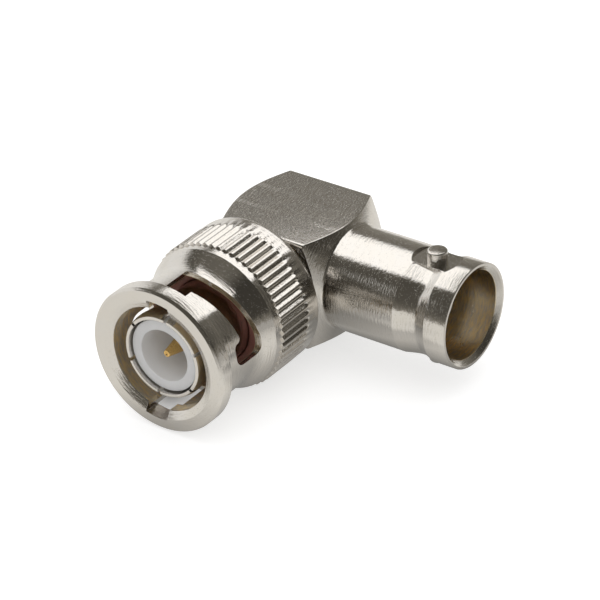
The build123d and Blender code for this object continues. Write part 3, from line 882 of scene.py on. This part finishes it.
def entry_cutter(s):
    """Cutter for the entry inside the collar: flat sides and a round roof."""
    half = s.entry_width / 2
    side = sqrt(s.entry_roof ** 2 - half ** 2)
    sweep = atan2(half, side)
    steps = 6
    roof = [(s.entry_roof * sin(sweep * k / steps), s.entry_roof * cos(sweep * k / steps))
            for k in range(-steps, steps + 1)]
    inside = s.bore_radius - 0.9
    outline = [(-half, inside)] + roof + [(half, inside)]

    def direction(a, b, depth):
        """Point of the section at a depth."""
        return (a, depth, b)

    ahead, behind = -s.front_lead - 1, s.collar_rear + 0.3
    return turned_copy(prism(outline, direction, ahead, behind), s.entry_angle)


def build_shell():
    """Plug's outer contact with its sprung fingers."""
    s = in_mm(bpy.context.scene.adapter_plug)
    bead = s.sleeve_radius + s.sleeve_bead
    rear = s.flange_depth + s.flange_thickness
    seat = s.insulator_radius + touch
    corners = [
        (0, s.sleeve_bore, 0.03), (0, s.sleeve_radius, 0.06), (s.bead_depth * 0.55, bead, 0.3),
        (s.bead_depth, bead, 0.3), (s.bead_depth * 2, s.sleeve_radius, 0.6),
        (s.flange_depth, s.sleeve_radius, 0.05), (s.flange_depth, s.flange_radius, 0.06),
        (rear, s.flange_radius, 0.06), (rear, s.neck_radius, 0.05),
        (s.neck_end, s.neck_radius, 0.1), (s.neck_end, seat, 0), (s.finger_length, seat, 0),
        (s.finger_length, s.sleeve_bore, 0),
    ]
    bm = spun(rounded(corners), "plug", 240)
    half = s.slit_width / 2
    inside, outside, fingers = 2, 6, 6
    slits = [turned_copy(bar((-half, -1, inside), (half, s.finger_length, outside)),
                         s.slit_phase + 2 * pi * k / fingers) for k in range(fingers)]
    return combined(bm, slits, "DIFFERENCE")


def build_plug_insulator():
    """Fluoropolymer tube with a deep bore round the pin."""
    s = in_mm(bpy.context.scene.adapter_plug)
    corners = [
        (s.insulator_front, s.insulator_bore, 0.06), (s.insulator_front, s.insulator_radius, 0.06),
        (s.neck_end, s.insulator_radius, 0.1), (s.neck_end, s.pin_shank, 0.02),
        (s.insulator_floor, s.pin_shank, 0.02), (s.insulator_floor, s.insulator_bore, 0.15),
    ]
    return spun(rounded(corners), "plug", 192)


def build_pin():
    """Gold-plated centre pin with its turning mark."""
    s = in_mm(bpy.context.scene.adapter_plug)
    corners = [
        (s.pin_front + 0.16, 0, 0), (s.pin_front + 0.02, s.pin_dimple, 0.04),
        (s.pin_front, s.pin_dimple + 0.03, 0), (s.pin_front, s.pin_tip, 0.07),
        (s.pin_front + s.pin_taper, s.pin_radius, 0.8), (s.insulator_floor, s.pin_radius, 0),
        (s.insulator_floor, s.pin_shank - 2 * touch, 0), (s.neck_end, s.pin_shank - 2 * touch, 0),
        (s.neck_end, s.pin_tail, 0), (s.pin_end, s.pin_tail, 0.05), (s.pin_end, 0, 0),
    ]
    return spun(rounded(corners, steps=6, closed=False), "plug", 96, closed=False)


def build_gasket():
    """Silicone ring in front of the flange."""
    s = in_mm(bpy.context.scene.adapter_plug)
    rear = s.flange_depth - touch
    corners = [
        (s.gasket_front, s.gasket_bore, s.gasket_edge),
        (s.gasket_front, s.gasket_radius, s.gasket_edge),
        (rear, s.gasket_radius, 0.06), (rear, s.gasket_bore, 0.03),
    ]
    return spun(rounded(corners, steps=6), "plug", 160)


def build_wave_washer(s):
    """Spring ring whose strip rises and falls round the plug's axis."""
    middle = (s.front + s.rear) / 2
    swing = (s.rear - s.front - s.strip) / 2
    low, high = middle - s.strip / 2, middle + s.strip / 2
    ring = spun([(low, s.bore), (high, s.bore), (high, s.bore + s.width), (low, s.bore + s.width)],
                "plug", 96)
    for vert in ring.verts:
        vert.co.y += swing * sin(s.waves * atan2(vert.co.x, vert.co.z))
    return ring


def build_jack_insulator():
    """Stepped insulator with its nipple."""
    s = in_mm(bpy.context.scene.adapter_jack)
    e = in_mm(bpy.context.scene.adapter_elbow)
    front = e.jack_reach - s.nipple_setback
    step = e.jack_reach - e.bore_depth - e.shoulder_wall
    corners = [
        (front, s.insulator_bore, 0.05), (front, s.nipple_radius, 0.08), (step, s.nipple_radius, 0),
        (step, e.chamber_radius - touch, 0), (s.insulator_rear, e.chamber_radius - touch, 0.05),
        (s.insulator_rear, s.insulator_bore, 0),
    ]
    return spun(rounded(corners), "jack", 144)


def build_jack_contact():
    """Slotted gold socket with the tail that the pin's tail crosses."""
    s = in_mm(bpy.context.scene.adapter_jack)
    e = in_mm(bpy.context.scene.adapter_elbow)
    front = e.jack_reach - s.nipple_setback - s.socket_recess
    depth = e.elbow_depth
    lead_in, drill_point = 0.22, 0.3
    corners = [
        (s.tail_end, 0, 0), (s.tail_end, s.tail_radius, 0.08), (s.insulator_rear, s.tail_radius, 0),
        (s.insulator_rear, s.socket_radius, 0.03), (front, s.socket_radius, 0.05),
        (front, s.socket_bore + lead_in, 0.03), (front - lead_in, s.socket_bore, 0.05),
        (front - s.socket_depth, s.socket_bore, 0), (front - s.socket_depth - drill_point, 0, 0),
    ]
    bm = spun(rounded(corners, closed=False), "jack", 96, closed=False)
    half = s.slit_width / 2
    slits = []
    for k in range(2):
        slit = bar((front - s.slit_length, -half, -2), (front + 1, half, 2))
        turn = Matrix.Rotation(pi / 4 + k * pi / 2, 4, "X")
        slit.transform(Matrix.Translation((0, depth, 0)) @ turn)
        slits.append(slit)
    hole = drum((0, depth, 0), (0, 1, 0), s.cross_hole, 4, 48)
    return combined(combined(bm, [slits[0]], "DIFFERENCE"), [slits[1], hole], "DIFFERENCE")


def build_cap():
    """Disc that closes the block behind the centre joint."""
    s = in_mm(bpy.context.scene.adapter_elbow)
    outer = -s.rear_reach + s.cap_recess
    inner = outer + s.cap_thickness - 0.01
    rim = s.cap_radius - 0.02
    corners = [(outer, 0, 0), (outer, rim, 0.12), (inner, rim, 0.05), (inner, 0, 0)]
    return spun(rounded(corners, steps=5, closed=False), "jack", 144, closed=False)


def gold():
    """Gold plate with faint turning marks."""
    looks = bpy.context.scene.adapter_finishes
    tree = Tree(bpy.data.materials.new("gold plate"))
    marks = tree.noise(tree.wound(tree.polar("plug"), ring_wind), 14000.0, 2.0)
    skin = tree.noise(tree.place(), 6000.0, 2.0)
    tint = tree.blend(tree.span(marks, 0.3, 0.7), looks.gold, scaled(looks.gold, 0.82))
    return tree.dress(Normal=tree.raised(marks, 0.0000008, tree.raised(skin, 0.0000006)),
                      Roughness=tree.span(skin, 0.3, 0.7, 0.20, 0.32), Base_Color=tint,
                      Metallic=1.0)


def silicone():
    """Smooth dark red silicone with moulding mottle."""
    looks = bpy.context.scene.adapter_finishes
    tree = Tree(bpy.data.materials.new("red silicone"))
    mottle = tree.noise(tree.place(), 1400.0, 3.0)
    grain = tree.noise(tree.place(), 16000.0, 2.0)
    return tree.dress(Base_Color=tree.blend(mottle, looks.silicone, scaled(looks.silicone, 1.6)),
                      Roughness=tree.span(mottle, 0.3, 0.7, 0.36, 0.5),
                      Normal=tree.raised(grain, 0.000001), Specular_IOR_Level=0.5)


def fluoropolymer():
    """Waxy white fluoropolymer with turning marks."""
    looks = bpy.context.scene.adapter_finishes
    tree = Tree(bpy.data.materials.new("fluoropolymer"))
    marks = tree.noise(tree.wound(tree.polar("plug"), ring_wind), 7000.0, 2.0)
    cloud = tree.noise(tree.place(), 900.0, 3.0)
    tint = tree.blend(tree.span(cloud, 0.3, 0.7), looks.fluoropolymer,
                      scaled(looks.fluoropolymer, 0.95))
    return tree.dress(Base_Color=tint, Normal=tree.raised(marks, 0.0000012),
                      Roughness=tree.span(cloud, 0.3, 0.7, 0.38, 0.5), Subsurface_Weight=0.35,
                      Subsurface_Radius=(0.0006, 0.0006, 0.0006), Subsurface_Scale=1.0)


def plain_metal(name, value, roughness):
    """Stamped strip metal with fine rolling marks."""
    tree = Tree(bpy.data.materials.new(name))
    stretch = tree.out("Mapping", Vector=tree.place(), Scale=(1.0, 1.0, 0.08))
    marks = tree.noise(stretch, 9000.0, 3.0)
    return tree.dress(Base_Color=tree.blend(marks, value, scaled(value, 0.8)), Metallic=1.0,
                      Roughness=tree.span(marks, 0.3, 0.7, roughness * 0.8, roughness * 1.2),
                      Normal=tree.raised(marks, 0.0000008))


class ADAPTER_OT_elbow(Operator):
    """Make the elbow body and its closing cap."""
    bl_idname = "adapter.elbow"
    bl_label = "Elbow and Cap"

    def execute(self, context):
        plate = nickel("nickel elbow", "jack", context.scene.adapter_elbow.bore_radius,
                       bore_haze=context.scene.adapter_finishes.mouth_haze, milled=True)
        finished(build_elbow(), "elbow", "elbow", ["elbow_body"], plate)
        finished(build_cap(), "closing_cap", "elbow", ["rear_cap"], plate)
        return {"FINISHED"}


class ADAPTER_OT_nut(Operator):
    """Make the bayonet coupling nut."""
    bl_idname = "adapter.nut"
    bl_label = "Coupling Nut"

    def execute(self, context):
        sizes = context.scene.adapter_nut
        plate = nickel("nickel nut", "plug", sizes.relief_radius,
                       sizes.mouth_depth - sizes.front_lead,
                       context.scene.adapter_finishes.bore_haze)
        finished(build_nut(), "bayonet_nut", "nut", ["coupling_nut"], plate)
        return {"FINISHED"}


class ADAPTER_OT_plug(Operator):
    """Make the plug's outer contact, insulator, pin and gasket."""
    bl_idname = "adapter.plug"
    bl_label = "Plug Pieces"

    def execute(self, context):
        finished(build_shell(), "outer_contact", "elbow", ["plug_shell"],
                 nickel("nickel contact", "plug"))
        finished(build_plug_insulator(), "plug_dielectric", "elbow", ["plug_insulator"],
                 fluoropolymer())
        finished(build_pin(), "centre_pin", "elbow", ["plug_pin"], gold())
        finished(build_gasket(), "sealing_ring", "elbow", ["gasket"], silicone())
        return {"FINISHED"}


class ADAPTER_OT_jack(Operator):
    """Make the jack's insulator and centre contact."""
    bl_idname = "adapter.jack"
    bl_label = "Jack Pieces"

    def execute(self, context):
        finished(build_jack_insulator(), "jack_dielectric", "elbow", ["jack_insulator"],
                 bpy.data.materials["fluoropolymer"])
        finished(build_jack_contact(), "centre_socket", "elbow", ["jack_contact"],
                 bpy.data.materials["gold plate"])
        return {"FINISHED"}


class ADAPTER_OT_washers(Operator):
    """Make the wave washer and dress the thrust washer, whose solid is shown as it is."""
    bl_idname = "adapter.washers"
    bl_label = "Washers"

    def execute(self, context):
        looks = context.scene.adapter_finishes
        sizes = in_mm(context.scene.adapter_washers)
        spring = finished(build_wave_washer(sizes), "spring_ring", "elbow",
                          ["wave_washer"], plain_metal("spring bronze", looks.bronze, 0.35))
        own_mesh(spring)
        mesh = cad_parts["thrust_washer"].data
        mesh.materials.clear()
        mesh.materials.append(plain_metal("washer steel", looks.steel, 0.3))
        return {"FINISHED"}


def camera_axes(s):
    """Camera's right, up and back directions."""
    flat = cos(s.elevation)
    back = Vector((sin(s.azimuth) * flat, -cos(s.azimuth) * flat, sin(s.elevation)))
    right = Vector((0, 0, 1)).cross(back).normalized()
    up = back.cross(right)
    return right * cos(s.roll) + up * sin(s.roll), up * cos(s.roll) - right * sin(s.roll), back


def make_camera(s):
    """Camera at the photograph's place."""
    right, up, back = camera_axes(s)
    depth = bpy.context.scene.adapter_elbow.elbow_depth
    lens = bpy.data.cameras.new("camera")
    lens.sensor_width = 36.0
    frame_pixels = 600
    lens.lens = lens.sensor_width * s.pixels_per_mm * s.distance * 1000 / frame_pixels
    lens.clip_start = 0.01
    lens.clip_end = 10.0
    camera = put_in_scene("camera", lens)
    place = Vector((0, depth, 0)) - right * s.aim_right - up * s.aim_up + back * s.distance
    turn = Matrix((right, up, back)).transposed().to_4x4()
    camera.matrix_world = Matrix.Translation(place) @ turn
    bpy.context.scene.camera = camera


def make_floor(s):
    """Pale floor: white to the camera but for its shadow and a painted shadow under the nut; in
    reflections, darker near the object by a painted shadow.
    """
    bm = bmesh.new()
    bmesh.ops.create_circle(bm, cap_ends=True, segments=96, radius=s.floor_radius)
    bm.transform(Matrix.Translation((0, 0, s.floor_height)))
    floor = put_in_scene("floor", as_mesh(bm, "floor"))
    tree = Tree(bpy.data.materials.new("pale floor"))
    across, along = tree.put("SeparateXYZ", Vector=tree.place()).outputs[:2]
    depth = bpy.context.scene.adapter_elbow.elbow_depth
    reach = bpy.context.scene.adapter_elbow.jack_reach

    def beyond(value, middle, half):
        """Distance of a value outside middle plus and minus half."""
        off = tree.maths("ABSOLUTE", tree.maths("SUBTRACT", value, middle))
        return tree.maths("MAXIMUM", tree.maths("SUBTRACT", off, half), 0.0)

    # In reflections: a painted shadow, dark below the plug and the jack and wider beside the knurl,
    # and painted shade that leaves the floor dimmer far right.
    narrowed = tree.span(beyond(along, 0.012, 0.003), 0.0, 0.003, s.floor_reach, 1.0)
    from_plug = tree.hypotenuse(tree.maths("MULTIPLY", across, narrowed),
                                beyond(along, depth * 0.65, depth * 0.5))
    from_jack = tree.hypotenuse(beyond(across, reach / 2, reach / 2), beyond(along, depth, 0.0))
    away = tree.maths("MINIMUM", from_plug, from_jack)
    glow = tree.maths("MULTIPLY", tree.span(away, 0.0015, 0.0105, s.floor_painted_shadow, s.floor_far),
                      tree.span(across, 0.018, 0.05, 1.0, 0.55))
    mirrored = tree.out("Emission", Color=(1.0, 0.98, 0.93), Strength=glow)

    # To the camera: white with the shadow it catches, and a painted shadow that darkens a patch
    # under the nut, which shows through its slots.
    under_nut = tree.hypotenuse(tree.maths("ADD", across, 0.003), beyond(along, 0.0085, 0.004))
    own_white_with_painted_shadow = tree.span(under_nut, 0.0005, 0.004, s.floor_painted_shade, s.floor_shown)
    shown = tree.out("AddShader", i0=tree.out("BsdfDiffuse", Color=(0.72, 0.72, 0.72)),
                     i1=tree.out("Emission", Color=white, Strength=own_white_with_painted_shadow))

    matte = tree.out("BsdfDiffuse", Color=(0.8, 0.79, 0.78))
    mixed = tree.by_ray("Is Glossy Ray", matte, mirrored)
    floor.data.materials.append(tree.surface(tree.by_ray("Is Camera Ray", mixed, shown)))


def make_panel(s):
    """Soft-edged panel close above the object."""
    bm = bmesh.new()
    bmesh.ops.create_grid(bm, x_segments=1, y_segments=1, size=1.0)
    middle = ((s.panel_left + s.panel_right) / 2, (s.panel_front + s.panel_back) / 2)
    half = ((s.panel_right - s.panel_left) / 2, (s.panel_back - s.panel_front) / 2)
    bm.transform(Matrix.Translation((*middle, s.panel_height)) @ Matrix.Diagonal((*half, 1, 1)))
    panel = put_in_scene("overhead_panel", as_mesh(bm, "overhead_panel"))
    tree = Tree(bpy.data.materials.new("overhead panel"))
    parts = tree.put("SeparateXYZ", Vector=tree.place()).outputs
    edges = []
    for axis in (0, 1):
        off = tree.maths("ABSOLUTE", tree.maths("SUBTRACT", parts[axis], middle[axis]))
        edges.append(tree.span(off, half[axis] - s.panel_border, half[axis], 1.0, 0.0))
    cut_slope, cut_softness = 1.33, 0.0015
    aside = tree.maths("MULTIPLY", tree.maths("SUBTRACT", parts[0], s.panel_left), -cut_slope)
    corner = tree.maths("ADD", tree.maths("SUBTRACT", parts[1], s.panel_back - s.panel_cut), aside)
    share = tree.maths("MULTIPLY", tree.maths("MULTIPLY", *edges),
                       tree.span(corner, -cut_softness, cut_softness, 1.0, 0.0))
    glow = tree.out("Emission", Color=(1.0, 0.99, 0.975), Strength=s.panel_strength)
    mixed = tree.out("MixShader", i0=share, i1=tree.out("BsdfTransparent"), i2=glow)
    panel.data.materials.append(tree.surface(mixed))
    panel.visible_camera = False


def warm(value):
    """Grey of a brightness, warmer the darker it is."""
    share = min(1.0, value / 0.9)
    return (value, value * (0.92 + 0.07 * share), value * (0.76 + 0.21 * share))


def make_world(s):
    """White to the camera, a studio in reflections, soft light from above elsewhere."""
    tree = Tree(bpy.data.worlds.new("studio"))
    bpy.context.scene.world = tree.material
    tree.nodes.clear()
    right_part, back_part, height = tree.put(
        "SeparateXYZ", Vector=tree.put("TexCoord").outputs["Generated"]).outputs
    level = tree.hypotenuse(right_part, back_part)
    side = tree.maths("DIVIDE", right_part, level)
    ahead = tree.maths("DIVIDE", tree.maths("MULTIPLY", back_part, -1.0), level)

    def wall(*stops):
        """Colours of one side, from (height above the horizon, brightness) stops."""
        return tree.ramp(height, [(place, warm(value)) for place, value in stops])

    left = wall((0.0, 0.95), (0.42, 0.95), (0.56, 0.10), (1.0, 0.16))
    rear_left = wall((0.0, 0.30), (0.15, 0.26), (0.6, 0.17), (0.8, 0.16))
    rear_right = wall((0.0, 0.45), (0.07, 0.25), (0.15, 0.17), (1.0, 0.18))
    right = wall((0.0, 0.28), (0.1, 0.17), (0.2, 0.06), (0.85, 0.045), (1.0, 0.16))
    front = wall((0.0, 0.40), (0.05, 0.24), (0.12, 0.16), (0.3, 0.10), (0.85, 0.085), (1.0, 0.17))
    room = tree.blend(tree.span(side, -0.1, 0.3), rear_left, rear_right)
    room = tree.blend(tree.span(ahead, 0.2, 0.7), room, front)
    room = tree.blend(tree.span(side, 0.5, 0.9), room, right)
    room = tree.blend(tree.span(side, -0.62, -0.74), room, left)
    from_above = tree.maths("MULTIPLY_ADD", height, s.fill, s.fill * 0.25)
    fill = tree.out("Background", Color=white, Strength=tree.maths("MAXIMUM", from_above, 0.0))
    mixed = tree.by_ray("Is Glossy Ray", fill, tree.out("Background", Color=room))
    mixed = tree.by_ray("Is Camera Ray", mixed, tree.out("Background", Color=white))
    tree.put("OutputWorld", Surface=mixed)


class ADAPTER_OT_stage(Operator):
    """Make the camera, the floor and the studio light."""
    bl_idname = "adapter.stage"
    bl_label = "Stage"

    def execute(self, context):
        settings = context.scene.adapter_stage
        context.scene.view_settings.view_transform = "Standard"
        make_camera(settings)
        make_floor(settings)
        make_panel(settings)
        make_world(settings)
        return {"FINISHED"}


class ADAPTER_PT_panel(Panel):
    """Lists the adapter's steps."""
    bl_label = "Adapter"
    bl_idname = "ADAPTER_PT_panel"
    bl_space_type = "VIEW_3D"
    bl_region_type = "UI"
    bl_category = "Adapter"

    def draw(self, context):
        for step in steps:
            self.layout.operator(step.bl_idname)


steps = (ADAPTER_OT_stage, ADAPTER_OT_elbow, ADAPTER_OT_nut, ADAPTER_OT_plug, ADAPTER_OT_jack,
         ADAPTER_OT_washers)
groups = {"adapter_elbow": ElbowSizes, "adapter_nut": NutSizes, "adapter_plug": PlugSizes,
          "adapter_jack": JackSizes, "adapter_washers": WasherSizes,
          "adapter_finishes": Finishes, "adapter_stage": StageSettings}


def register():
    """Registers the settings, the steps and the panel."""
    for name, group in groups.items():
        bpy.utils.register_class(group)
        setattr(bpy.types.Scene, name, PointerProperty(type=group))
    for step in steps:
        bpy.utils.register_class(step)
    bpy.utils.register_class(ADAPTER_PT_panel)


def unregister():
    """Takes away what register added."""
    bpy.utils.unregister_class(ADAPTER_PT_panel)
    for step in reversed(steps):
        bpy.utils.unregister_class(step)
    for name, group in reversed(groups.items()):
        delattr(bpy.types.Scene, name)
        bpy.utils.unregister_class(group)


def main():
    """Makes the whole adapter and its stage."""
    register()
    for step in steps:
        package, name = step.bl_idname.split(".")
        getattr(getattr(bpy.ops, package), name)()


if __name__ == "__main__":
    main()
